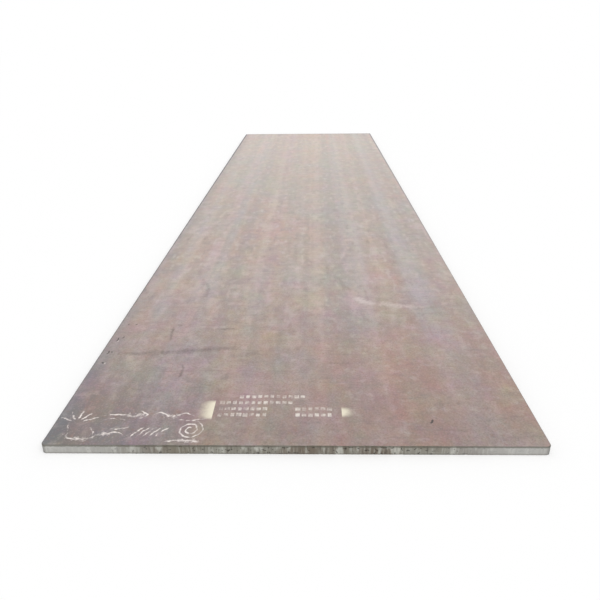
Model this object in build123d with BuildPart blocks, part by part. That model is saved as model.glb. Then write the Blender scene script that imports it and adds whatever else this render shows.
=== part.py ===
"""Heavy hot-rolled steel plate: one flat piece of mill stock, torch-cut to size on all four edges.

Units are millimetres. The origin is the centre of the underside, +X runs across the plate,
+Y along its rolled length and +Z up through its thickness.
"""

import os

from build123d import *

# Stock size
plate_width = 2000.0
plate_length = 8000.0
plate_thickness = 40.0

# Cut edges
corner_radius = 20.0  # the torch sweeps round each corner instead of stopping on it
top_arris_radius = 3.0  # the preheat flame melts the upper edge round
bottom_arris_chamfer = 1.0  # the dross is scraped off the lower edge

os.makedirs("parts", exist_ok=True)

# Plate
with BuildPart() as steel_plate:
    with BuildSketch(Plane.XY) as cut_outline:
        RectangleRounded(plate_width, plate_length, corner_radius)
    extrude(amount=plate_thickness)

    top_face = steel_plate.faces().sort_by(Axis.Z)[-1]
    fillet(top_face.edges(), radius=top_arris_radius)

    underside = steel_plate.faces().sort_by(Axis.Z)[0]
    chamfer(underside.edges(), length=bottom_arris_chamfer)

steel_plate.part.label = "steel_plate"
export_step(steel_plate.part, "parts/steel_plate.step")
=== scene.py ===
# %% [markdown]
# # A torch-cut steel plate
# Heavy plate leaves the rolling mill under a thin skin of oxide, called mill scale, and a torch then cuts
# it to size. This lesson dresses one such plate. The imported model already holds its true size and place,
# so every surface below is worked out in metres in that same frame, and nothing is moved to fit.

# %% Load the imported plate
from math import pi, radians, sin

import bpy
import numpy as np
from mathutils import Matrix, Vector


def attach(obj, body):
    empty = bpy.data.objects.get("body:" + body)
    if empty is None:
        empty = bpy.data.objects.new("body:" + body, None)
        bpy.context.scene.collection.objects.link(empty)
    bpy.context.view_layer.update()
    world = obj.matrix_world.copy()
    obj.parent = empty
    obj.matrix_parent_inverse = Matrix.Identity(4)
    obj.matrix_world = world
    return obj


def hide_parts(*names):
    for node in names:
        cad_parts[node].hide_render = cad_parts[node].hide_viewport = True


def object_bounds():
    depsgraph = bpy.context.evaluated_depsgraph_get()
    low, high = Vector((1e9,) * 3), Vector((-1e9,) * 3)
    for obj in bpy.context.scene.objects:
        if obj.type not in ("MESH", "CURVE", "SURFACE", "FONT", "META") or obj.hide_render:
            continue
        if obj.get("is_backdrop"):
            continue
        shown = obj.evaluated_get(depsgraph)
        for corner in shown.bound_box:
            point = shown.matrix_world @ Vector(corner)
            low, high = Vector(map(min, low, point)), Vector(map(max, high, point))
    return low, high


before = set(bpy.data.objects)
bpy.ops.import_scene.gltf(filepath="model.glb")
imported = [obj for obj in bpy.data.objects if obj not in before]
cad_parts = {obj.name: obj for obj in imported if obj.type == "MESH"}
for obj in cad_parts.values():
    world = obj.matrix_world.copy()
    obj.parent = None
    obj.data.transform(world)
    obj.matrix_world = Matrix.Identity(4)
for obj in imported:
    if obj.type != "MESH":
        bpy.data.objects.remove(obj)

MM = 0.001  # one millimetre in metres
cad_low, cad_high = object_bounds()
WIDTH, LENGTH, THICKNESS = cad_high - cad_low
sizes = " x ".join(f"{size / MM:.0f}" for size in (WIDTH, LENGTH, THICKNESS))
print(f"plate of {sizes} mm, nodes {sorted(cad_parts)}")

# %% [markdown]
# ## Camera
# The plate is seen from its near end, from eye height. A Track To constraint could aim the camera, but it
# would hide the roll. One turn each for pitch, yaw and roll says exactly how the camera is held, and the
# focal length is that of a pinhole through which the plate's four top corners fall where the photograph
# has them.

# %% Camera
FRAME_PIXELS = 600  # width of the picture
FOCAL_PIXELS = 596.1  # distance from the pinhole to the picture, in its pixels
SENSOR_MM = 36.0
EYE_ACROSS, EYE_ALONG, EYE_ABOVE = 0.075, -5.89, 1.465  # metres from the middle of the top face
PITCH, YAW, ROLL = radians(24.0), radians(-1.35), radians(-0.64)

camera_data = bpy.data.cameras.new("camera")
camera_data.sensor_width = SENSOR_MM
camera_data.lens = SENSOR_MM * FOCAL_PIXELS / FRAME_PIXELS
camera = bpy.data.objects.new("camera", camera_data)
bpy.context.collection.objects.link(camera)
level_look = Matrix.Rotation(radians(90.0), 4, "X")
camera.matrix_world = (
    Matrix.Translation((EYE_ACROSS, EYE_ALONG, THICKNESS + EYE_ABOVE))
    @ Matrix.Rotation(-YAW, 4, "Z")
    @ Matrix.Rotation(-PITCH, 4, "X")
    @ level_look
    @ Matrix.Rotation(ROLL, 4, "Z")
)
bpy.context.scene.camera = camera
print(f"camera with a {camera_data.lens:.2f} mm lens")

# %% [markdown]
# ## Nodes and colours
# Every finish below is a tree of nodes. One small function adds any node: a value sets an input, and a
# socket given in its place is linked to it. Colours are written as the hex values that a paint shop or a
# picture editor shows, and one function turns them into the linear light that a shader works in.

# %% Node and colour helpers
MIX_FACTOR, MIX_A, MIX_B, MIX_RESULT = 0, 6, 7, 2  # sockets of a Mix node that mixes colours


def node(tree, kind, inputs, **properties):
    """Adds a node, sets its properties, and gives each named input its value or a link from a socket."""
    made = tree.nodes.new(kind)
    for name, value in properties.items():
        setattr(made, name, value)
    for name, value in inputs.items():
        if isinstance(value, bpy.types.NodeSocket):
            tree.links.new(value, made.inputs[name])
        else:
            made.inputs[name].default_value = value
    return made


def linear(hex_colour):
    """Linear RGBA of an sRGB hex colour: channels below 0.04045 are divided by 12.92, and the rest go by
    the 2.4 power curve of the sRGB standard."""
    channels = np.array([int(hex_colour[i:i + 2], 16) for i in (1, 3, 5)]) / 255
    low, high = channels / 12.92, ((channels + 0.055) / 1.055) ** 2.4
    return (*np.where(channels <= 0.04045, low, high).tolist(), 1.0)


def new_material(name):
    """An empty material with its node tree and its output node, ready for a shader."""
    material = bpy.data.materials.new(name)
    material.use_nodes = True
    material.node_tree.nodes.clear()
    return material, material.node_tree, material.node_tree.nodes.new("ShaderNodeOutputMaterial")


print("mid grey #808080 is", round(linear("#808080")[0], 3), "in linear light")

# %% [markdown]
# ## Light
# A bare plate on a studio floor wants broad, even light, so the world gives a plain grey fill from all
# round, and one wide sun adds direction from behind the camera's right shoulder. Together they light a
# level surface at strength one, at which a colour renders about as it is written. One area lamp could not
# light eight metres so evenly. The camera and the gloss see a white surround, through Light Path, and that
# costs the plate no extra light.

# %% World and sun
FILL_SHARE = 0.58  # share of the level light that comes from all round
SUN_HEIGHT, SUN_BEARING, SUN_SPREAD = radians(52.0), radians(28.0), radians(50.0)

bpy.context.scene.view_settings.view_transform = "Standard"
world = bpy.data.worlds.new("white_surround")
bpy.context.scene.world = world
world.use_nodes = True
sky = world.node_tree
sky.nodes.clear()
path = node(sky, "ShaderNodeLightPath", {})
sees_white = path.outputs["Is Camera Ray"]
for ray in ("Is Glossy Ray", "Is Transmission Ray"):
    either = {0: sees_white, 1: path.outputs[ray]}
    sees_white = node(sky, "ShaderNodeMath", either, operation="MAXIMUM").outputs[0]
strength = node(sky, "ShaderNodeMapRange", {"Value": sees_white, "To Min": FILL_SHARE, "To Max": 1.0})
surround = node(sky, "ShaderNodeBackground", {"Color": linear("#ffffff"), "Strength": strength.outputs[0]})
node(sky, "ShaderNodeOutputWorld", {"Surface": surround.outputs[0]})

sun_data = bpy.data.lights.new("wide_sun", "SUN")
sun_data.energy = (1.0 - FILL_SHARE) * pi / sin(SUN_HEIGHT)
sun_data.angle = SUN_SPREAD
sun = bpy.data.objects.new("wide_sun", sun_data)
bpy.context.collection.objects.link(sun)
sun.visible_glossy = False  # the gloss shows the white surround alone, with no glare of the lamp
sun_tilt = Matrix.Rotation(radians(90.0) - SUN_HEIGHT, 4, "X")
sun.matrix_world = Matrix.Rotation(SUN_BEARING, 4, "Z") @ sun_tilt
print(f"sun of {sun_data.energy:.2f} W/m2 over a fill of {FILL_SHARE}")

# %% [markdown]
# ## Floor
# The floor is only a stage. A pale diffuse sheet catches the plate's shadow, and for camera rays alone a
# little emission lifts the lit floor to plain white, so that it runs into the white surround with no
# horizon. Where the shadow falls only the diffuse part drops, so the shadow stays.

# %% Floor
FLOOR_REACH = 60.0  # metres from its middle to each side
FLOOR_DROP = 0.2 * MM  # keeps the floor off the plate's underside
FLOOR_PALE = 0.84  # diffuse albedo, and the emission makes up the rest of white

floor_mesh = bpy.data.meshes.new("studio_floor")
reach = np.array([[-1, -1], [1, -1], [1, 1], [-1, 1]]) * FLOOR_REACH
floor_mesh.from_pydata(np.c_[reach, np.full(4, -FLOOR_DROP)].tolist(), [], [(0, 1, 2, 3)])
floor = bpy.data.objects.new("studio_floor", floor_mesh)
bpy.context.collection.objects.link(floor)
floor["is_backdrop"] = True

floor_paint, tree, output = new_material("pale_floor_paint")
diffuse = node(tree, "ShaderNodeBsdfDiffuse", {"Color": (FLOOR_PALE, FLOOR_PALE, FLOOR_PALE, 1.0)})
path = node(tree, "ShaderNodeLightPath", {})
rest_of_white = {0: path.outputs["Is Camera Ray"], 1: 1.0 - FLOOR_PALE}
lift = node(tree, "ShaderNodeMath", rest_of_white, operation="MULTIPLY")
glow = node(tree, "ShaderNodeEmission", {"Strength": lift.outputs[0]})
both = node(tree, "ShaderNodeAddShader", {0: diffuse.outputs[0], 1: glow.outputs[0]})
tree.links.new(both.outputs[0], output.inputs["Surface"])
floor_mesh.materials.append(floor_paint)
print(f"floor {2 * FLOOR_REACH:.0f} m across")

# %% [markdown]
# ## The plate's outline
# The torch follows a rectangle and sweeps round each corner. A bevelled box would give that outline too,
# but its edge could carry no cut marks. So the outline is a path: each point has a place on an inner
# rectangle and an outward normal. Along a side the place moves, and at a corner only the normal turns,
# so a profile carried along the path makes straight cuts and swept corners by one rule.

# %% Outline path
CORNER_RADIUS = 20 * MM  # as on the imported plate, and so are the arris and the chamfer further down
CELL = 40 * MM  # spacing of the coarse grid on the flat faces
STEPS_PER_CELL = 10  # rim points along one cell
ARC_STEPS = 8  # rim points round one corner

inner_half = np.array([WIDTH, LENGTH]) / 2 - CORNER_RADIUS
inner_corners = inner_half * np.array([[-1, -1], [1, -1], [1, 1], [-1, 1]])
cells = np.rint(2 * inner_half / CELL).astype(int)
side_steps = [int(cells[side % 2]) * STEPS_PER_CELL for side in range(4)]


def outline_path():
    """Walks round the plate anticlockwise from the near-left corner. A side is a straight run between two
    inner corners under one normal, and a corner is one place under a normal that turns by a quarter."""
    places, normals = [], []
    for side, steps in enumerate(side_steps):
        start, end = inner_corners[side], inner_corners[(side + 1) % 4]
        facing = (side - 1) * pi / 2
        places.append(start + (end - start) * np.arange(steps)[:, None] / steps)
        places.append(np.tile(end, (ARC_STEPS, 1)))
        turns = np.r_[np.full(steps, facing), facing + pi / 2 * np.arange(ARC_STEPS) / ARC_STEPS]
        normals.append(np.stack([np.cos(turns), np.sin(turns)], axis=1))
    return np.concatenate(places), np.concatenate(normals)


rim_places, rim_normals = outline_path()
rim_outer = rim_places + CORNER_RADIUS * rim_normals
rim_gaps = np.linalg.norm(np.roll(rim_outer, -1, axis=0) - rim_outer, axis=1)
perimeter = rim_gaps.sum()
rim_along = np.cumsum(rim_gaps) - rim_gaps
print(f"outline of {len(rim_outer)} points, {perimeter:.2f} m round")

# %% [markdown]
# ## The torch-cut edge
# The flame melts the upper arris round, and its drag leaves a comb of lines down the cut that bend back
# towards the bottom. Where the torch stopped and started again it bit a deeper gouge. A bump map
# could shade such lines, but the edge is what tells a cut plate from a rolled one, so they are real
# relief: one profile, from the top face down to the scraped lower edge, is pressed in along the path.

# %% Profile and relief of the cut
TOP_ARRIS = 3 * MM
LOWER_CHAMFER = 1 * MM
ARRIS_ROWS, CUT_ROWS = 5, 8  # rows of points over the arris and down the straight cut
ARRIS_SWELL = [(0.18, 97, 0), (0.12, 211, 1)]  # sines of its width: strength, waves round the plate, phase
DRAG_PITCH = 18 * MM  # real drag lines lie 1 to 2 mm apart, drawn coarser so that they show
DRAG_DEPTH = 0.5 * MM
DRAG_HEAD_SHARE = 0.4  # how deep a line is at the head of the cut, beside its depth at the foot
DRAG_LAG = 9 * MM  # how far a line trails behind the flame at the bottom
DRAG_WANDER = [(2.2, 23, 0), (1.4, 61, 1), (0.9, 149, 2)]  # sines of the lines' spacing, given as above
GOUGES = 64
GOUGE_WIDTH, GOUGE_DEPTH = 5 * MM, 1.6 * MM
GOUGE_SHARES = (0.25, 1)  # the shallowest and the deepest bite
SEED = 11  # one fixed seed, so that every run draws the same plate

rng = np.random.default_rng(SEED)


def waves_round(turn, waves):
    """Sum of sines of the angle round the outline, each with a strength, a number of waves and a phase."""
    return sum(strength * np.sin(count * turn + phase) for strength, count, phase in waves)


def cut_profile():
    """Inset from the outline and height of each row: a quarter arc over the arris, the straight cut and
    the chamfer."""
    turn = np.linspace(0, pi / 2, ARRIS_ROWS)
    cut = np.linspace(THICKNESS - TOP_ARRIS, LOWER_CHAMFER, CUT_ROWS)[1:]
    inset = np.r_[TOP_ARRIS * (1 - np.sin(turn)), np.zeros(CUT_ROWS - 1), LOWER_CHAMFER]
    height = np.r_[THICKNESS - TOP_ARRIS * (1 - np.cos(turn)), cut, 0]
    return inset, height


def torch_relief(along, height):
    """Depth of the cut below a true plane. Drag lines are a sine of the distance along the cut, set back
    by the square of the depth, and their spacing wanders. Gouges are bell curves at random places."""
    depth_share = (THICKNESS - height) / THICKNESS
    trail = along + DRAG_LAG * depth_share ** 2
    turn = 2 * pi * trail / perimeter
    drag = 0.5 + 0.5 * np.sin(round(perimeter / DRAG_PITCH) * turn + waves_round(turn, DRAG_WANDER))
    relief = DRAG_DEPTH * drag * (DRAG_HEAD_SHARE + (1 - DRAG_HEAD_SHARE) * depth_share)
    for place, bite in zip(rng.uniform(0, perimeter, GOUGES), rng.uniform(*GOUGE_SHARES, GOUGES)):
        off = (trail - place + perimeter / 2) % perimeter - perimeter / 2
        relief += GOUGE_DEPTH * bite * np.exp(-((off / GOUGE_WIDTH) ** 2))
    return relief


inset, height = (row[:, None] for row in cut_profile())
swell = 1 + waves_round(2 * pi * rim_along / perimeter, ARRIS_SWELL)
bite_share = np.clip((THICKNESS - height) / TOP_ARRIS, 0, 1)  # the relief fades out over the arris
rim_inset = inset * np.where(height > THICKNESS / 2, swell, 1.0)
rim_inset += bite_share * torch_relief(rim_along, height)
rim_xy = rim_places + (CORNER_RADIUS - rim_inset)[:, :, None] * rim_normals
rim = np.concatenate([rim_xy, np.broadcast_to(height[:, :, None], rim_xy.shape[:2] + (1,))], axis=2)
print(f"rim of {rim.shape[0]} rows, deepest bite {rim_inset[ARRIS_ROWS:-1].max() / MM:.2f} mm")

# %% [markdown]
# ## Roll waves
# No rolled plate is a mirror: the mill leaves slow waves, under a millimetre high and about a metre long,
# that make its sheen drift. A Displace modifier could raise them, but the marks that lie on the plate have
# to follow the same waves, so they are a formula that every piece can ask. A coarse grid is enough here.

# %% Wavy faces
WAVE_HEIGHT = 0.7 * MM
WAVE_FADE = 250 * MM  # distance from the border over which the waves grow
ROLL_WAVES = [  # strength, length across the plate and along it in metres, phase
    (1.0, np.inf, 1.13, 0.6),
    (0.7, 0.84, 2.7, 0.0),
    (0.5, 1.3, np.inf, 0.0),
]


def roll_wave(x, y):
    """Depth below the true top: a sum of slow sines, brought between nothing and the wave's height, which
    grows from zero at the border by a smooth step."""
    edge = np.minimum(inner_half[0] - np.abs(x), inner_half[1] - np.abs(y))
    grown = np.clip(edge / WAVE_FADE, 0, 1)
    waves, highest = 0, 0
    for strength, across, along, phase in ROLL_WAVES:
        waves = waves + strength * np.sin(2 * pi * (x / across + y / along) + phase)
        highest += strength
    return WAVE_HEIGHT * grown ** 2 * (3 - 2 * grown) * (0.5 + 0.5 * waves / highest)


def flat_grid(level, wavy):
    """Points of the coarse grid over the inner rectangle, row by row along the plate, at a level that the
    roll wave lowers where the face is wavy."""
    x, y = np.meshgrid(*(np.linspace(-h, h, n + 1) for h, n in zip(inner_half, cells)))
    return np.stack([x, y, level - wavy * roll_wave(x, y)], axis=2)


top, bottom = flat_grid(THICKNESS, wavy=True), flat_grid(0, wavy=False)
print(f"top face up to {(THICKNESS - top[..., 2].min()) / MM:.2f} mm below its true plane")

# %% [markdown]
# ## The skin of the plate
# The rim is fine and the flat faces are coarse. Grids as fine as the rim would join it point by point, but
# would cost two million faces. So the two meet in a ring of many-sided faces, one for each cell of the
# border, and the skin is closed without carrying the rim's fine steps across the plate.

# %% Faces of the skin
def quads(index, wrap=False):
    """Four-sided faces between each point of an index grid, the next one along and two in the next row."""
    after = np.roll(index, -1, axis=1)
    columns = index.shape[1] - (0 if wrap else 1)
    corners = (index[:-1], index[1:], after[1:], after[:-1])
    return np.stack([c[:, :columns] for c in corners], axis=2).reshape(-1, 4)


def border_faces(loop, grid):
    """Many-sided faces that join a fine loop to a grid's border: a cell's run of fine points and its two
    grid points on each side, and at each corner the fine arc and the grid's corner point."""
    borders = (grid[0], grid[:, -1], grid[-1, ::-1], grid[::-1, 0])
    faces, start = [], 0
    for border, steps in zip(borders, side_steps):
        runs = start + np.arange(0, steps, STEPS_PER_CELL)[:, None] + np.arange(STEPS_PER_CELL + 1)
        faces += np.c_[loop[runs % len(loop)], border[1:], border[:-1]].tolist()
        arc = start + steps + np.arange(ARC_STEPS + 1)
        faces.append([*loop[arc % len(loop)].tolist(), int(border[-1])])
        start += steps + ARC_STEPS
    return faces


counts = np.cumsum([0, rim[..., 0].size, top[..., 0].size, bottom[..., 0].size])
rim_index, top_index, bottom_index = (
    np.arange(a, b).reshape(part.shape[:2]) for a, b, part in zip(counts, counts[1:], (rim, top, bottom))
)
plate_points = np.concatenate([part.reshape(-1, 3) for part in (rim, top, bottom)])
cut_faces = quads(rim_index, wrap=True).tolist()
top_faces = quads(top_index)[:, ::-1].tolist() + border_faces(rim_index[0], top_index)
under_faces = quads(bottom_index).tolist() + [f[::-1] for f in border_faces(rim_index[-1], bottom_index)]
print(f"{len(cut_faces)} faces on the cut, {len(top_faces)} on top and {len(under_faces)} underneath")

# %% [markdown]
# ## Pieces
# A piece is a mesh, a name and a body to ride on. Two things help the marks that come later: faces are
# smooth or flat by their own flags, and a number for each point, called cover, tells a finish how thickly
# chalk or paint lies there. The skin's two finishes share one mesh, so no seam can open between them.

# %% Add pieces
def add_piece(name, points, faces, cover=None, smooth=False):
    """Makes a mesh object at the origin from points and faces, and lets it ride on the plate's body."""
    mesh = bpy.data.meshes.new(name)
    mesh.from_pydata(points.tolist(), [], faces)
    mesh.polygons.foreach_set("use_smooth", np.broadcast_to(smooth, len(faces)).astype(bool))
    if cover is not None:
        mesh.attributes.new("cover", "FLOAT", "POINT").data.foreach_set("value", cover.astype(np.float32))
    piece = bpy.data.objects.new(name, mesh)
    bpy.context.collection.objects.link(piece)
    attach(piece, "root")
    return piece


plate_faces = cut_faces + top_faces + under_faces
face_order = np.arange(len(plate_faces))
shown_above = face_order < len(plate_faces) - len(under_faces)
plate = add_piece("plate_skin", plate_points, plate_faces, smooth=shown_above)
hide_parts("steel_plate")
plate.data.polygons.foreach_set("material_index", (face_order < len(cut_faces)).astype(np.int32))
print(f"plate skin of {sum(len(face) - 2 for face in plate_faces)} triangles")

# %% [markdown]
# ## Routes of the strokes
# In the yard a plate gets chalk strokes, scuffs from slings and pale rubs. A few points, in millimetres
# from the near-left corner, give each its route, and a smooth cubic runs through them. Blender's curve
# objects would do that too, but a formula hands over its points at once, as an array to build on.

# %% Smooth routes
SAMPLE = 5 * MM  # spacing of the points along a stroke
FEWEST = 8  # points along the shortest stroke
near_left = np.array([-WIDTH, -LENGTH]) / 2


def smooth_route(points):
    """Catmull-Rom curve: from one point to the next it is the cubic whose slope at each point is half the
    chord between that point's neighbours. The end chords are mirrored."""
    p = np.asarray(points, dtype=float) * MM + near_left
    p = np.r_[[2 * p[0] - p[1]], p, [2 * p[-1] - p[-2]]]
    length = np.linalg.norm(np.diff(p, axis=0), axis=1).sum()
    t = np.linspace(0, len(p) - 3, max(int(length / SAMPLE), FEWEST))
    i = np.minimum(t.astype(int), len(p) - 4)
    f = (t - i)[:, None]
    a, b, c, d = (p[i + k] for k in range(4))
    slope, bend, twist = (c - a) / 2, a - 2.5 * b + 2 * c - d / 2, 1.5 * (b - c) + (d - a) / 2
    return b + f * slope + f ** 2 * bend + f ** 3 * twist


print(f"routes start from the corner at {near_left.tolist()} m, with a point every {SAMPLE / MM:.0f} mm")

# %% [markdown]
# ## Ribbons
# Marks painted into the plate's own finish would blur over its eight metres, so each is a strip of its own
# that lies on the top: a low hump, carried along its route. Its faces stay flat-shaded, because smooth
# shading would blend the hump into its hidden underside and draw a dark line round every mark.

# %% Ribbons
ACROSS = np.linspace(-1, 1, 5)  # places across a stroke, from one edge to the other
SINK = 0.03 * MM  # how far a mark's rim dips into the scale, so that no gap shows
WOBBLE = 1.2 * MM  # how far a hand strays from its line
WOBBLE_WAVES = (74 * MM, 33 * MM)  # and over what lengths it does
PRESSURE_WAVE = 130 * MM  # how often the hand eases off
END_SHARE = 0.35  # how wide and high a stroke is at its ends
END_PARTS = 6  # it is full after one part in so many of its length
SWAY = 0.22  # share by which the width swings
SWAY_TURN, SWAY_START = 31, 6  # radians of that swing along a stroke, and the most that it starts with
RAGGED = 0.15  # share by which the width jumps from point to point


def stroke(points, width, proud, strength, ease=0.0):
    """A strip along a route, with its width and height in mm. Across it the height is a parabola, and
    cover falls from the middle to nothing at the edges. Line and width waver as the hand does, cover
    follows its pressure, and both ends are narrow."""
    route = smooth_route(points)
    ahead = np.gradient(route, axis=0)
    step = np.linalg.norm(ahead, axis=1)
    ahead /= step[:, None]
    side = np.stack([-ahead[:, 1], ahead[:, 0]], axis=1)
    along = np.cumsum(step)
    *stray_phases, pressure_phase = rng.uniform(0, 2 * pi, len(WOBBLE_WAVES) + 1)
    stray = sum(np.sin(2 * pi * along / wave + phase) for wave, phase in zip(WOBBLE_WAVES, stray_phases))
    route = route + WOBBLE * stray[:, None] * side
    pressure = 1 - ease * (0.5 + 0.5 * np.sin(2 * pi * along / PRESSURE_WAVE + pressure_phase))
    share = np.linspace(0, 1, len(route))
    taper = END_SHARE + (1 - END_SHARE) * np.minimum(1, END_PARTS * np.minimum(share, 1 - share))
    waver = 1 + SWAY * np.sin(rng.uniform(0, SWAY_START) + SWAY_TURN * share)
    waver += rng.uniform(-RAGGED, RAGGED, len(route))
    half = (width * MM / 2 * taper * waver)[:, None]
    xy = route[:, None] + (half * ACROSS)[:, :, None] * side[:, None]
    hump = (1 - ACROSS ** 2) * taper[:, None]
    z = THICKNESS - roll_wave(xy[..., 0], xy[..., 1]) + proud * MM * hump - SINK
    index = np.arange(z.size).reshape(z.shape)
    faces = quads(index).tolist()
    faces += quads(index[:, ::len(ACROSS) - 1])[:, ::-1].tolist()
    faces += [index[0].tolist(), index[-1, ::-1].tolist()]
    return np.dstack([xy, z]).reshape(-1, 3), faces, (strength * pressure[:, None] * hump).ravel()


def join(parts):
    """Puts parts, each with its points, faces and cover, into one set of arrays."""
    points, faces, covers = zip(*parts)
    starts = np.cumsum([0] + [len(p) for p in points]).tolist()
    moved = [[corner + start for corner in face] for start, group in zip(starts, faces) for face in group]
    return np.concatenate(points), moved, np.concatenate(covers)


print(f"a ribbon has {len(ACROSS)} points across")

# %% [markdown]
# ## Chalk
# The yard's chalk marks near the plate's near-left corner are a fan, an arrow, a wavy line, a long sweep,
# some hatching and a spiral, with fainter strokes and smudges between them. A grease-pencil drawing could
# hold them, but it would not export. The regular ones are formulas and the rest are a few listed points.

# %% Chalk strokes
BOLD = (11.0, 0.35, 0.92, 0.45)  # width and height in mm, strength, share by which the hand eases off
FAINT = (9.0, 0.35, 0.60, 0.50)
SMUDGE = (38.0, 0.10, 0.55, 0.50)
POINTS_PER_TURN = 12  # of a spiral


def wavy_line(start, length, height, waves, points, calming=0.45):
    """A sine of so many waves along a straight line, whose height has fallen by its calming at the end."""
    t = np.linspace(0, 1, points)
    sway = height * (1 - calming * t) * np.sin(2 * pi * waves * t)
    return np.stack([start[0] + length * t, start[1] + sway], axis=1)


def spiral(centre, reach, turns):
    """A spiral whose two half-widths grow evenly from a tenth to the full reach."""
    t = np.linspace(0, 1, int(POINTS_PER_TURN * turns))[:, None]
    angle = 2 * pi * turns * t
    return np.array(centre) + np.array(reach) * (0.1 + 0.9 * t) * np.c_[np.cos(angle), np.sin(angle)]


def fan(centre, inner, outer, rays, spread=(0.85, 0.15)):
    """Rays between two distances from a centre, spread evenly between two shares of a half turn."""
    angle = np.linspace(*spread, rays) * pi
    ray = np.stack([np.cos(angle), np.sin(angle)], axis=1)
    return list(np.array(centre) + np.stack([inner * ray, outer * ray], axis=1))


arrow = [[(182, 200), (250, 208), (318, 203), (372, 207)], [(336, 236), (374, 207), (340, 176)]]
hatching = [[(x, 44 + x / 30), (x + 18, 88), (x + 44, 128 - x / 40)] for x in range(340, 460, 25)]
sweep = [(60, 74), (96, 46), (158, 40), (214, 66), (272, 84), (330, 62)]
underline = [(470, 22), (520, 32), (572, 34), (628, 20)]
ripple = wavy_line((400, 206), length=176, height=20, waves=1.6, points=40)
bold_routes = [*fan((92, 148), inner=22, outer=92, rays=5), *arrow, ripple, sweep, *hatching, underline]
bold_routes.append(spiral((574, 104), reach=(58, 64), turns=2.3))
faint_routes = [
    [(62, 138), (78, 84), (84, 26)],
    [(150, 128), (176, 96), (190, 52)],
    [(186, 160), (226, 178), (276, 172), (330, 158)],
    [(204, 116), (262, 106), (322, 118)],
    [(488, 176), (560, 168), (640, 182)],
]
smudge_routes = [sweep[1:5], arrow[0][1:], ripple[8:32:6], underline[1:]]
chalk_parts = [
    stroke(route, *kind)
    for routes, kind in ((bold_routes, BOLD), (faint_routes, FAINT), (smudge_routes, SMUDGE))
    for route in routes
]
chalk = add_piece("chalk_strokes", *join(chalk_parts))
print(f"{len(chalk_parts)} chalk strokes of {len(chalk.data.vertices)} points")

# %% [markdown]
# ## Scuffs, nicks and rubs
# Slings and skids drag long soft scuffs over the scale, and one long soft dark line across the near-left
# part is a painted shadow of a cable. Chains nick the scale, here mostly by the left rim, and a rub is a
# broad smear where the bloom was wiped paler. They could be painted masks. As strokes they need only a
# route, a width and a strength each, and the function that makes them is there already.

# %% Scuffs and rubs
SCUFF_PROUD = 0.12  # height of these marks in mm

scuff_and_shadow_routes = [  # route, width in mm, strength
    # the first route is the painted shadow of a cable
    ([(18, 727), (300, 746), (549, 782), (730, 802)], 80, 0.41),
    ([(690, 716), (760, 732), (820, 756)], 62, 0.33),
    ([(308, 1052), (314, 960), (326, 866)], 25, 0.44),
    ([(322, 1062), (356, 1054)], 28, 0.37),
    ([(435, 640), (452, 570), (442, 496)], 26, 0.46),
    ([(371, 1707), (412, 1589), (425, 1417)], 42, 0.34),
    ([(562, 1012), (672, 1014)], 38, 0.38),
    ([(1140, 640), (1270, 648)], 48, 0.33),
]
nick_routes = [
    ([(1572, 180), (1568, 160), (1556, 154)], 12, 1.1),
    ([(38, 652), (47, 636)], 12, 1.0),
    ([(30, 728), (40, 748), (36, 768)], 10, 0.9),
    ([(58, 742), (52, 762)], 10, 0.8),
    ([(36, 868), (46, 892), (38, 912)], 10, 0.9),
    ([(62, 900), (70, 924)], 10, 0.8),
    ([(90, 1060), (98, 1078)], 12, 0.8),
    ([(48, 1060), (54, 1080)], 10, 0.7),
]
rub_routes = [
    ([(1330, 1446), (1372, 1380), (1456, 1332)], 90, 0.53),
    ([(1450, 1362), (1560, 1322), (1735, 1290)], 90, 0.44),
    ([(52, 630), (54, 646)], 12, 0.8),
    ([(46, 862), (54, 882)], 12, 0.6),
]


def flat_strokes(routes):
    """One set of arrays for strokes of one low height, each given by its route, width and strength."""
    return join([stroke(route, width, SCUFF_PROUD, strength) for route, width, strength in routes])


scuffs_and_shadow = add_piece("dark_scuffs_and_shadow_line", *flat_strokes(scuff_and_shadow_routes + nick_routes))
rubs = add_piece("pale_rubs", *flat_strokes(rub_routes))
print(f"{len(scuff_and_shadow_routes)} scuffs, {len(nick_routes)} nicks and {len(rub_routes)} rubs")

# %% [markdown]
# ## Stencilled blocks and overspray
# Rows of small plain blocks were sprayed through a stencil card, and mist that passed the card's two ends
# left pale patches with one sharp side. A decal would need a picture, so each is a low pad: a grid whose
# height falls to zero at its border, with worn paint on it.

# %% Sprayed pads
PAD_PROUD = 0.2  # height of a pad in mm
PAD_POWER = 8  # the higher, the flatter a pad's middle and the quicker its fall at the border
BLOCK_PITCH, BLOCK_SIZE = 27, (23, 34)  # mm from block to block, and a block's width and length in mm
BLOCK_SIZE_SHARES, BLOCK_WEAR_SHARES = (0.7, 1.05), (0.7, 1.1)  # least and most
BLOCK_STRAY = 2  # mm by which a block sits off its row


def pad(centre, size, strength, points=(6, 6), fade=0.0, edge_power=PAD_POWER):
    """A grid over a rectangle. Its height is one less a power of each coordinate, so it is flat, with a
    quick fall at its border. Cover falls along it by the edge power, and a fade lets it die across it."""
    u, v = np.meshgrid(np.linspace(-1, 1, points[0]), np.linspace(-1, 1, points[1]))
    x = near_left[0] + MM * (centre[0] + size[0] / 2 * u)
    y = near_left[1] + MM * (centre[1] + size[1] / 2 * v)
    hump = (1 - u ** PAD_POWER) * (1 - v ** PAD_POWER)
    z = THICKNESS - roll_wave(x, y) + PAD_PROUD * MM * hump - SINK
    index = np.arange(u.size).reshape(u.shape)
    faces = quads(index)[:, ::-1].tolist()
    faces.append(np.r_[index[0, ::-1], index[1:, 0], index[-1, 1:], index[-2:0:-1, -1]].tolist())
    across = 1 - abs(fade) / 2 + fade / 2 * u
    return np.dstack([x, y, z]).reshape(-1, 3), faces, (strength * across * (1 - v ** edge_power)).ravel()


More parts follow.
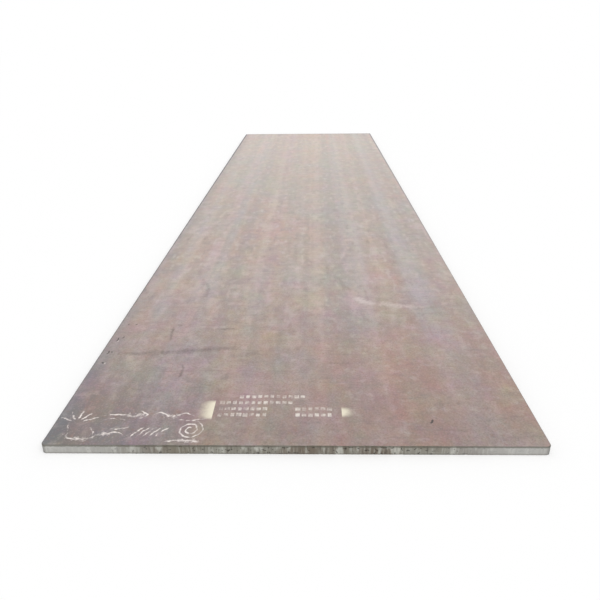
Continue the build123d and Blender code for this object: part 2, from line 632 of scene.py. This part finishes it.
block_rows = [  # height up the plate and start of a row in mm, blocks, strength
    (348, 760, 11, 0.58),
    (300, 680, 12, 0.58),
    (253, 680, 8, 0.55),
    (209, 680, 8, 0.60),
    (252, 1010, 6, 0.50),
    (208, 1010, 6, 0.68),
]
block_parts = []
for y, x, count, strength in block_rows:
    for k in range(count):
        size = np.array(BLOCK_SIZE) * rng.uniform(*BLOCK_SIZE_SHARES, 2)
        place = (x + k * BLOCK_PITCH, y + rng.uniform(-BLOCK_STRAY, BLOCK_STRAY))
        block_parts.append(pad(place, size, strength * rng.uniform(*BLOCK_WEAR_SHARES)))
blocks = add_piece("stencil_blocks", *join(block_parts))

mist_parts = [
    pad((612, 246), (78, 150), 1.0, points=(20, 24), fade=1.0, edge_power=6),
    pad((1229, 230), (66, 86), 1.0, points=(20, 16), fade=-1.0, edge_power=2),
]
mist = add_piece("paint_overspray", *join(mist_parts))
print(f"{len(block_parts)} stencilled blocks and {len(mist_parts)} patches of overspray")

# %% [markdown]
# ## Patterns of the scale
# Nothing on mill scale is even. The rolls leave bands and stripes as long as the plate, and chatter across
# it. Water and loose oxide leave clouds and patches, and rust starts as freckles and grains. A photo
# texture would be the quick way to them all. Here each pattern is one noise, squeezed to the width and
# length that it has on the plate, so it stays sharp in any view.

# %% Scale patterns
NOISES = {  # width across the plate and length along it in mm, octaves, share kept by each finer octave
    "band": (230, 12000, 2.0, 0.5),
    "stripe": (100, 30000, 2.0, 0.5),
    "streak": (45, 150, 3.0, 0.5),
    "cloud": (620, 1050, 3.0, 0.5),
    "patch": (120, 230, 4.0, 0.5),
    "mottle": (50, 52, 5.0, 0.5),
    "film": (210, 300, 4.0, 0.8),
    "freckle": (15, 18, 3.0, 0.5),
    "grain": (7, 9, 2.0, 0.5),  # real grains are under 1 mm, drawn coarser so that they show
    "chatter": (170, 24, 3.0, 0.5),
}
SEED_STEP = 17.3  # shifts each noise to a stretch of its own


def scale_patterns(tree):
    """Noises of the scale on object coordinates, each squeezed by its size across and along the plate,
    with the plain coordinates and the distances from the nearest cut and the nearest corner."""
    place = node(tree, "ShaderNodeTexCoord", {}).outputs["Object"]
    patterns = {"place": place}
    for k, (name, (across, along, octaves, keep)) in enumerate(NOISES.items()):
        squeezed = node(tree, "ShaderNodeMapping", {
            "Vector": place, "Location": (k * SEED_STEP, k * SEED_STEP, 0.0),
            "Scale": (1 / (across * MM), 1 / (along * MM), 1 / (across * MM)),
        })
        noise = node(tree, "ShaderNodeTexNoise", {
            "Vector": squeezed.outputs[0], "Scale": 1.0, "Detail": octaves, "Roughness": keep,
        })
        patterns[name], patterns[name + "_tint"] = noise.outputs["Fac"], noise.outputs["Color"]
    axes = node(tree, "ShaderNodeSeparateXYZ", {"Vector": place})
    patterns.update({axis: axes.outputs[axis] for axis in "XYZ"})
    gaps = []
    for axis, size in (("X", WIDTH), ("Y", LENGTH)):
        away = node(tree, "ShaderNodeMath", {0: patterns[axis]}, operation="ABSOLUTE")
        gap = node(tree, "ShaderNodeMath", {0: size / 2, 1: away.outputs[0]}, operation="SUBTRACT")
        gaps.append(gap.outputs[0])
    for name, choice in (("edge", "MINIMUM"), ("corner", "MAXIMUM")):
        nearest = node(tree, "ShaderNodeMath", {0: gaps[0], 1: gaps[1]}, operation=choice)
        patterns[name] = nearest.outputs[0]
    return patterns


print("patterns from coarse to fine:", ", ".join(sorted(NOISES, key=lambda name: -NOISES[name][1])))

# %% [markdown]
# ## Mill scale
# Mill scale is the blue-grey oxide that forms on hot steel, and a few damp weeks lay a thin pink bloom of
# rust over it. To the eye it is a dull satin skin in soft bands along the rolling direction, mottled in
# tan, pink and grey-green. A colour ramp on one noise would look printed. So one ground colour gets many
# thin glazes, each through its own pattern, as a painter lays them. The finest show most at the near end.

# %% Glazes
SCALE_GROUND = "#ac8f7d"
GLAZES = [  # noise, where the glaze starts and is full, its shares at the near end and further up, colour
    ("cloud", 0.46, 0.66, (0.75, 0.75), "#a39787"),
    ("cloud", 0.50, 0.32, (0.75, 0.75), "#b38c77"),
    ("band", 0.52, 0.66, (0.65, 0.65), "#a29895"),
    ("band", 0.46, 0.34, (0.60, 0.60), "#b9967a"),
    ("patch", 0.50, 0.72, (0.60, 0.72), "#c9b4a7"),
    ("patch", 0.48, 0.28, (0.55, 0.65), "#8b7068"),
    ("stripe", 0.50, 0.70, (0.26, 0.34), "#c9b5a9"),
    ("stripe", 0.50, 0.30, (0.22, 0.29), "#8b7068"),
    ("streak", 0.52, 0.74, (0.34, 0.72), "#c6b1a4"),
    ("streak", 0.46, 0.26, (0.28, 0.62), "#886e61"),
]
FINE_GLAZES = [  # the same, for the fine mottling that lies over the discoloured areas too
    ("mottle", 0.52, 0.74, (0.58, 0.45), "#cab5a8"),
    ("mottle", 0.46, 0.26, (0.50, 0.40), "#856b5f"),
    ("chatter", 0.52, 0.74, (0.36, 0.25), "#846d62"),
    ("freckle", 0.55, 0.73, (0.46, 0.20), "#9c6c52"),
    ("grain", 0.50, 0.72, (0.48, 0.28), "#76655a"),
    ("grain", 0.48, 0.28, (0.35, 0.20), "#cab7aa"),
]
DETAIL_ENDS = (-4.0, -1.8)  # metres along the plate between which those shares change


def glaze(tree, colour, factor, start, full, share, tint, blend="MIX"):
    """Lays a tint over a colour: nothing where the factor is at start, its share where it is at full."""
    mask = node(tree, "ShaderNodeMapRange", {
        "Value": factor, "From Min": start, "From Max": full, "To Min": 0.0, "To Max": share,
    }, interpolation_type="SMOOTHSTEP")
    sockets = {MIX_FACTOR: mask.outputs[0], MIX_A: colour, MIX_B: linear(tint)}
    return node(tree, "ShaderNodeMix", sockets, data_type="RGBA", blend_type=blend).outputs[MIX_RESULT]


def share_along(tree, patterns, ends, shares):
    """A share that runs evenly along the plate, from one value at the first end to one at the second."""
    return node(tree, "ShaderNodeMapRange", {
        "Value": patterns["Y"], "From Min": ends[0], "From Max": ends[1],
        "To Min": shares[0], "To Max": shares[1],
    }).outputs[0]


def glazes(tree, colour, patterns, layers):
    """Lays a list of glazes over a colour, one after the other."""
    for name, start, full, shares, tint in layers:
        share = share_along(tree, patterns, DETAIL_ENDS, shares)
        colour = glaze(tree, colour, patterns[name], start, full, share, tint)
    return colour


print(f"mill scale of {len(GLAZES)} broad glazes and {len(FINE_GLAZES)} fine ones over {SCALE_GROUND}")

# %% [markdown]
# ## Discoloured areas
# Over its patterns a plate carries its history: a bluish band along one side, and areas that lay damp,
# rusted more or got dirty. Vertex paint could hold them, but only as finely as the mesh. Here each is a
# glaze masked by the distance from a line or a point, and the scale's own noises push or fray its border.

# %% Band and areas
BAND_COLOUR, BAND_SHARE = "#a1a09c", 0.38  # one broad bluish band along the right side
BAND_MIDDLE, BAND_HALF = WIDTH / 2 - 170 * MM, 120 * MM
BAND_DRIFT = 160 * MM  # how far the clouds push that band sideways
AREAS = [  # middle of a discoloured area, its reach in metres, its share, its colour
    ((-1.0, -3.9), 1.6, 0.45, "#9b8e89"),  # greyer scale by the near-left corner
    ((0.55, -3.7), 1.3, 0.40, "#b17e60"),  # more rust on the right of the near end
    ((-1.0, -4.0), 0.80, 0.74, "#5d5051"),  # dark scale in the near-left corner itself
    ((-0.25, 1.4), 3.4, 0.24, "#bdae95"),  # a paler, yellower stretch left of the middle
]
AREA_FRAY = 0.9  # metres by which the streaks fray an area's border


def bluish_band(tree, colour, patterns):
    """A glaze by the distance from a line along the plate, which the clouds push sideways."""
    off_line = node(tree, "ShaderNodeMath", {0: patterns["X"], 1: BAND_MIDDLE}, operation="SUBTRACT")
    drift = {0: patterns["cloud"], 1: BAND_DRIFT, 2: off_line.outputs[0]}
    drifted = node(tree, "ShaderNodeMath", drift, operation="MULTIPLY_ADD")
    away = node(tree, "ShaderNodeMath", {0: drifted.outputs[0]}, operation="ABSOLUTE")
    return glaze(tree, colour, away.outputs[0], BAND_HALF, 0.0, BAND_SHARE, BAND_COLOUR)


def discoloured_areas(tree, colour, patterns):
    """A glaze by the distance from each area's middle, with a border that the streaks fray."""
    for centre, reach, share, tint in AREAS:
        ends = {0: patterns["place"], 1: (*centre, THICKNESS)}
        away = node(tree, "ShaderNodeVectorMath", ends, operation="DISTANCE")
        fray = {0: patterns["streak"], 1: AREA_FRAY, 2: away.outputs["Value"]}
        frayed = node(tree, "ShaderNodeMath", fray, operation="MULTIPLY_ADD").outputs[0]
        colour = glaze(tree, colour, frayed, reach + AREA_FRAY / 2, AREA_FRAY / 2, share, tint)
    return colour


print(f"one band and {len(AREAS)} areas, the widest {2 * max(area[1] for area in AREAS):.1f} m across")

# %% [markdown]
# ## Films, painted sheen, heat and painted shade
# Thin oxide films turn the scale faintly pink, lilac or green. Painted sheen darkens the near end and pales
# the scale up the plate, as the gloss of a grazing view would. The torch came last and left the scale
# blue-black along the cut, and painted shade darkens the rims and a strip along the left side. Each could
# be a shader of its own, mixed in, but they only change the colour, so they are laid on like the glazes.

# %% Films, painted sheen, heat and painted shade
FILMS = [  # colours of a noise that tint the scale, and their shares at the near end and further up
    ("film_tint", (0.56, 0.38)),
    ("stripe_tint", (0.08, 0.18)),
]
SHEEN_FALLOFF = [  # painted sheen: metres along the plate where a darkening towards the near end starts and is full, its colour
    (3.4, 0.8, "#f2f6fd"),
    (-2.1, -3.45, "#ece5e7"),
    (-3.3, -4.0, "#f1f2f3"),
]
# painted sheen: a near-white mixed in, more of it up the plate, for the gloss that a grazing view shows
PAINTED_SHEEN = "#fbfbfb"
PAINTED_SHEEN_ENDS, PAINTED_SHEEN_SHARES = (-4.0, 3.4), (0.082, 0.269)  # metres along the plate, and its shares there
LEFT_SHADE, LEFT_SHADE_SHARE = "#4a6a78", 0.22
LEFT_SHADE_STRIP, LEFT_SHADE_CORE = 120 * MM, 10 * MM  # painted shade: a darker, bluer strip this far in along the left side
HEAT_SHADE, HEAT_SHADE_SHARE = "#4a4d56", 0.80
HEAT_SHADE_BAND, HEAT_SHADE_CORE = 14 * MM, 5 * MM  # the torch leaves the scale blue-black this far in from the cut, and painted shade darkens that rim
HEAT_SHADE_SPREAD, HEAT_SHADE_LEAN = 2 * MM, 2 * MM  # and further in for each metre up the plate and to the left, as painted shade of the rim


def films_and_sheen(tree, colour, patterns):
    """Oxide films as a soft light of a noise's own colours, then painted sheen: glazes that multiply the
    colour darker towards the near end, and a near-white mixed in by a share that grows evenly up the plate."""
    for name, shares in FILMS:
        share = share_along(tree, patterns, DETAIL_ENDS, shares)
        film = {MIX_FACTOR: share, MIX_A: colour, MIX_B: patterns[name]}
        tinted = node(tree, "ShaderNodeMix", film, data_type="RGBA", blend_type="SOFT_LIGHT")
        colour = tinted.outputs[MIX_RESULT]
    for start, full, tint in SHEEN_FALLOFF:
        colour = glaze(tree, colour, patterns["Y"], start, full, 1.0, tint, "MULTIPLY")
    share = share_along(tree, patterns, PAINTED_SHEEN_ENDS, PAINTED_SHEEN_SHARES)
    painted_sheen = {MIX_FACTOR: share, MIX_A: colour, MIX_B: linear(PAINTED_SHEEN)}
    return node(tree, "ShaderNodeMix", painted_sheen, data_type="RGBA").outputs[MIX_RESULT]


def heat_and_shade_tints(tree, colour, patterns):
    """A strip of painted shade by the distance from the left side, then a dark band of heat tint and
    painted shade by the distance from the nearest cut, from which each metre up the plate and to the left
    takes a little away."""
    left = -WIDTH / 2
    colour = glaze(tree, colour, patterns["X"], left + LEFT_SHADE_STRIP, left + LEFT_SHADE_CORE, LEFT_SHADE_SHARE, LEFT_SHADE)
    heat_shade_distance = patterns["edge"]
    for axis, change in (("Y", -HEAT_SHADE_SPREAD), ("X", HEAT_SHADE_LEAN)):
        nearer = {0: patterns[axis], 1: change, 2: heat_shade_distance}
        heat_shade_distance = node(tree, "ShaderNodeMath", nearer, operation="MULTIPLY_ADD").outputs[0]
    return glaze(tree, colour, heat_shade_distance, HEAT_SHADE_BAND, HEAT_SHADE_CORE, HEAT_SHADE_SHARE, HEAT_SHADE)


def scale_colour(tree, patterns):
    """The ground colour under its broad glazes, then the band and the areas, the fine glazes over those,
    the films and the painted sheen, and last the heat of the torch with painted shade along the rims."""
    colour = glazes(tree, linear(SCALE_GROUND), patterns, GLAZES)
    colour = bluish_band(tree, colour, patterns)
    colour = discoloured_areas(tree, colour, patterns)
    colour = glazes(tree, colour, patterns, FINE_GLAZES)
    colour = films_and_sheen(tree, colour, patterns)
    return heat_and_shade_tints(tree, colour, patterns)


print(f"{len(FILMS)} oxide films under {max(PAINTED_SHEEN_SHARES):.0%} of dust at most")

# %% [markdown]
# ## The scale's finish
# An oxide is no bare metal, so the scale shines as a plain dielectric does. Clean scale would be glossier.
# Its gloss is kept low, since its sheen is painted into the colour, and it gives the eye a dull satin
# that drifts from patch to patch, broken up by shallow pits, which are too fine for the mesh and are left
# to bump.

# %% Scale material
SCALE_IOR = 1.5  # magnetite alone has about 2.4, and this leaves little gloss, since the sheen is painted into the colour
SCALE_ROUGHNESS = (0.42, 0.62)  # least and most
ROUGHNESS_ENDS = (0.3, 0.7)  # values of the patch noise between which the roughness runs
PIT_STRENGTH, PIT_DEPTH = 0.35, 0.3 * MM


def scale_finish(tree, output, patterns, colour, roughness):
    """A shader with the scale's gloss and pits, for a colour and a roughness, linked to the output."""
    pits = node(tree, "ShaderNodeBump", {
        "Height": patterns["freckle"], "Strength": PIT_STRENGTH, "Distance": PIT_DEPTH,
    })
    shader = node(tree, "ShaderNodeBsdfPrincipled", {
        "Base Color": colour, "Roughness": roughness, "IOR": SCALE_IOR, "Normal": pits.outputs[0],
    })
    tree.links.new(shader.outputs[0], output.inputs["Surface"])


scale_paint, tree, output = new_material("hot_rolled_mill_scale")
patterns = scale_patterns(tree)
satin = node(tree, "ShaderNodeMapRange", {
    "Value": patterns["patch"], "From Min": ROUGHNESS_ENDS[0], "From Max": ROUGHNESS_ENDS[1],
    "To Min": SCALE_ROUGHNESS[0], "To Max": SCALE_ROUGHNESS[1],
})
scale_finish(tree, output, patterns, scale_colour(tree, patterns), satin.outputs[0])
plate.data.materials.append(scale_paint)
print(f"{scale_paint.name} of {len(tree.nodes)} nodes")

# %% [markdown]
# ## The cut's finish
# The cut is bare steel under a thin grey oxide. To the eye it is bright near the plate's corners and olive
# and brown between them, with fine lines down it, bright flakes, small dark holes and a dark head where
# the flame stood. Painted shade deepens that head, the foot and the swept corners. A brushed-metal shader
# would be too clean. Glazes do it again, and some share the scale's noises, so that cut and scale change
# colour at the same places.

# %% Cut material
CUT_GROUND = "#8f8c82"
CUT_METALLIC, CUT_ROUGHNESS = 0.35, 0.5  # part metal and part oxide
LINE_STRENGTH, LINE_DEPTH = 0.5, 0.6 * MM
CUT_NOISES = {  # width along the cut and height up it in mm, octaves
    "line": (9, 90, 4.0),  # real drag lines are 1 to 2 mm wide, drawn coarser so that they show
    "flake": (55, 160, 6.0),
    "pit": (17, 13, 2.0),
}
CUT_GLAZES = [  # factor, where the glaze starts and is full, its share, its colour
    ("patch", 0.58, 0.40, 0.70, "#7a7263"),
    ("band", 0.52, 0.64, 0.60, "#6d5f52"),
    ("flake", 0.53, 0.62, 0.75, "#c6c5bc"),  # oxide flaked off bright steel
    ("line", 0.50, 0.70, 0.55, "#b3b3aa"),
    ("line", 0.48, 0.28, 0.75, "#58524a"),
    ("pit", 0.60, 0.66, 0.80, "#332e28"),  # holes left by slag
    ("corner", 550 * MM, 120 * MM, 0.72, "#c1c0bd"),  # brighter and cleaner towards the corners
    ("corner", 24 * MM, 6 * MM, 0.65, "#5f5c57"),  # but burnt dark where the torch swept round, deepened by painted shade
    ("Z", 10 * MM, 1 * MM, 0.40, "#5e5a50"),  # dross darkens the foot of the cut, and painted shade darkens it more
    ("head", THICKNESS - 5 * MM, THICKNESS + 1 * MM, 0.75, "#5a564b"),  # and the flame's oxide its head, with painted shade under the arris
]
HEAD_FRAY = 8 * MM  # how far the lines fray the dark head of the cut

cut_paint, tree, output = new_material("torch_cut_steel")
patterns = scale_patterns(tree)
run = node(tree, "ShaderNodeMath", {0: patterns["X"], 1: patterns["Y"]}, operation="ADD")
up_cut = node(tree, "ShaderNodeCombineXYZ", {"X": run.outputs[0], "Y": patterns["Z"]})
for name, (along, up, octaves) in CUT_NOISES.items():
    squeeze = {"Vector": up_cut.outputs[0], "Scale": (1 / (along * MM), 1 / (up * MM), 1.0)}
    squeezed = node(tree, "ShaderNodeMapping", squeeze)
    noise = {"Vector": squeezed.outputs[0], "Scale": 1.0, "Detail": octaves}
    patterns[name] = node(tree, "ShaderNodeTexNoise", noise).outputs["Fac"]
frayed = {0: patterns["line"], 1: HEAD_FRAY, 2: patterns["Z"]}
patterns["head"] = node(tree, "ShaderNodeMath", frayed, operation="MULTIPLY_ADD").outputs[0]
colour = linear(CUT_GROUND)
for name, start, full, share, tint in CUT_GLAZES:
    colour = glaze(tree, colour, patterns[name], start, full, share, tint)
ridges = node(tree, "ShaderNodeBump", {
    "Height": patterns["line"], "Strength": LINE_STRENGTH, "Distance": LINE_DEPTH,
})
shader = node(tree, "ShaderNodeBsdfPrincipled", {
    "Base Color": colour, "Metallic": CUT_METALLIC, "Roughness": CUT_ROUGHNESS,
    "Normal": ridges.outputs[0],
})
tree.links.new(shader.outputs[0], output.inputs["Surface"])
plate.data.materials.append(cut_paint)
print("plate finishes:", [material.name for material in plate.data.materials])

# %% [markdown]
# ## Chalk, paint and scuff finishes
# Chalk and sprayed paint lie on the scale's grains and miss the hollows, so a mark is never solid. A
# see-through material could show the plate below, but it slows the render and exports badly. So each
# mark's finish rebuilds the scale's own colour at the same object coordinates, and lays the mark's colour
# over it where its cover beats a fine noise. At its rim the cover is nothing, so it melts into the plate.

# %% Mark materials
MARK_SHARE = 0.95  # how much of the scale a mark hides where it is fully laid
MARKS = {  # piece, mark colour, mark roughness, softness of its edge, how far the grit breaks it up
    "dry_chalk": (chalk, "#ede4df", 0.9, 0.8, 1.9),  # powdery and matt, with many gaps
    "sprayed_stencil_paint": (blocks, "#e6ded6", 0.7, 0.8, 1.2),  # a thin pale coat, worn through
    "sprayed_cream_paint": (mist, "#f0e8d2", 0.7, 0.9, 0.3),  # a soft mist, dense at one side
    "dark_scuff_and_shadow_smear": (scuffs_and_shadow, "#4a4341", 0.6, 0.8, 0.4),  # a soft dark smear, also the painted shadow of a cable
    "rubbed_scale": (rubs, "#dccfca", 0.5, 0.9, 0.6),  # a pale haze with the scale's own satin
}
for name, (piece, tint, roughness, softness, grit) in MARKS.items():
    paint, tree, output = new_material(name)
    patterns = scale_patterns(tree)
    cover = node(tree, "ShaderNodeAttribute", {}, attribute_name="cover")
    gritty = {0: patterns["freckle"], 1: grit, 2: cover.outputs["Fac"]}
    level = node(tree, "ShaderNodeMath", gritty, operation="MULTIPLY_ADD")
    half_laid = 0.5 + 0.5 * grit  # the level that half cover reaches on grit of middling height
    laid = node(tree, "ShaderNodeMapRange", {
        "Value": level.outputs[0],
        "From Min": half_laid - softness / 2, "From Max": half_laid + softness / 2,
    }).outputs[0]
    colour = glaze(tree, scale_colour(tree, patterns), laid, 0.0, 1.0, MARK_SHARE, tint)
    dullness = node(tree, "ShaderNodeMapRange", {
        "Value": laid, "To Min": sum(SCALE_ROUGHNESS) / 2, "To Max": roughness,
    })
    scale_finish(tree, output, patterns, colour, dullness.outputs[0])
    piece.data.materials.append(paint)
print("mark finishes:", sorted(MARKS))

# %% [markdown]
# ## Size
# Looks must not change the size. The box of what is shown is compared with the box that the imported plate
# had, and the largest change of a corner is printed.

# %% Size and finish
bpy.context.view_layer.update()
visual_low, visual_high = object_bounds()
change = max((cad_low - visual_low).length, (cad_high - visual_high).length)
print(f"largest change of a corner: {change / MM:.2f} mm")
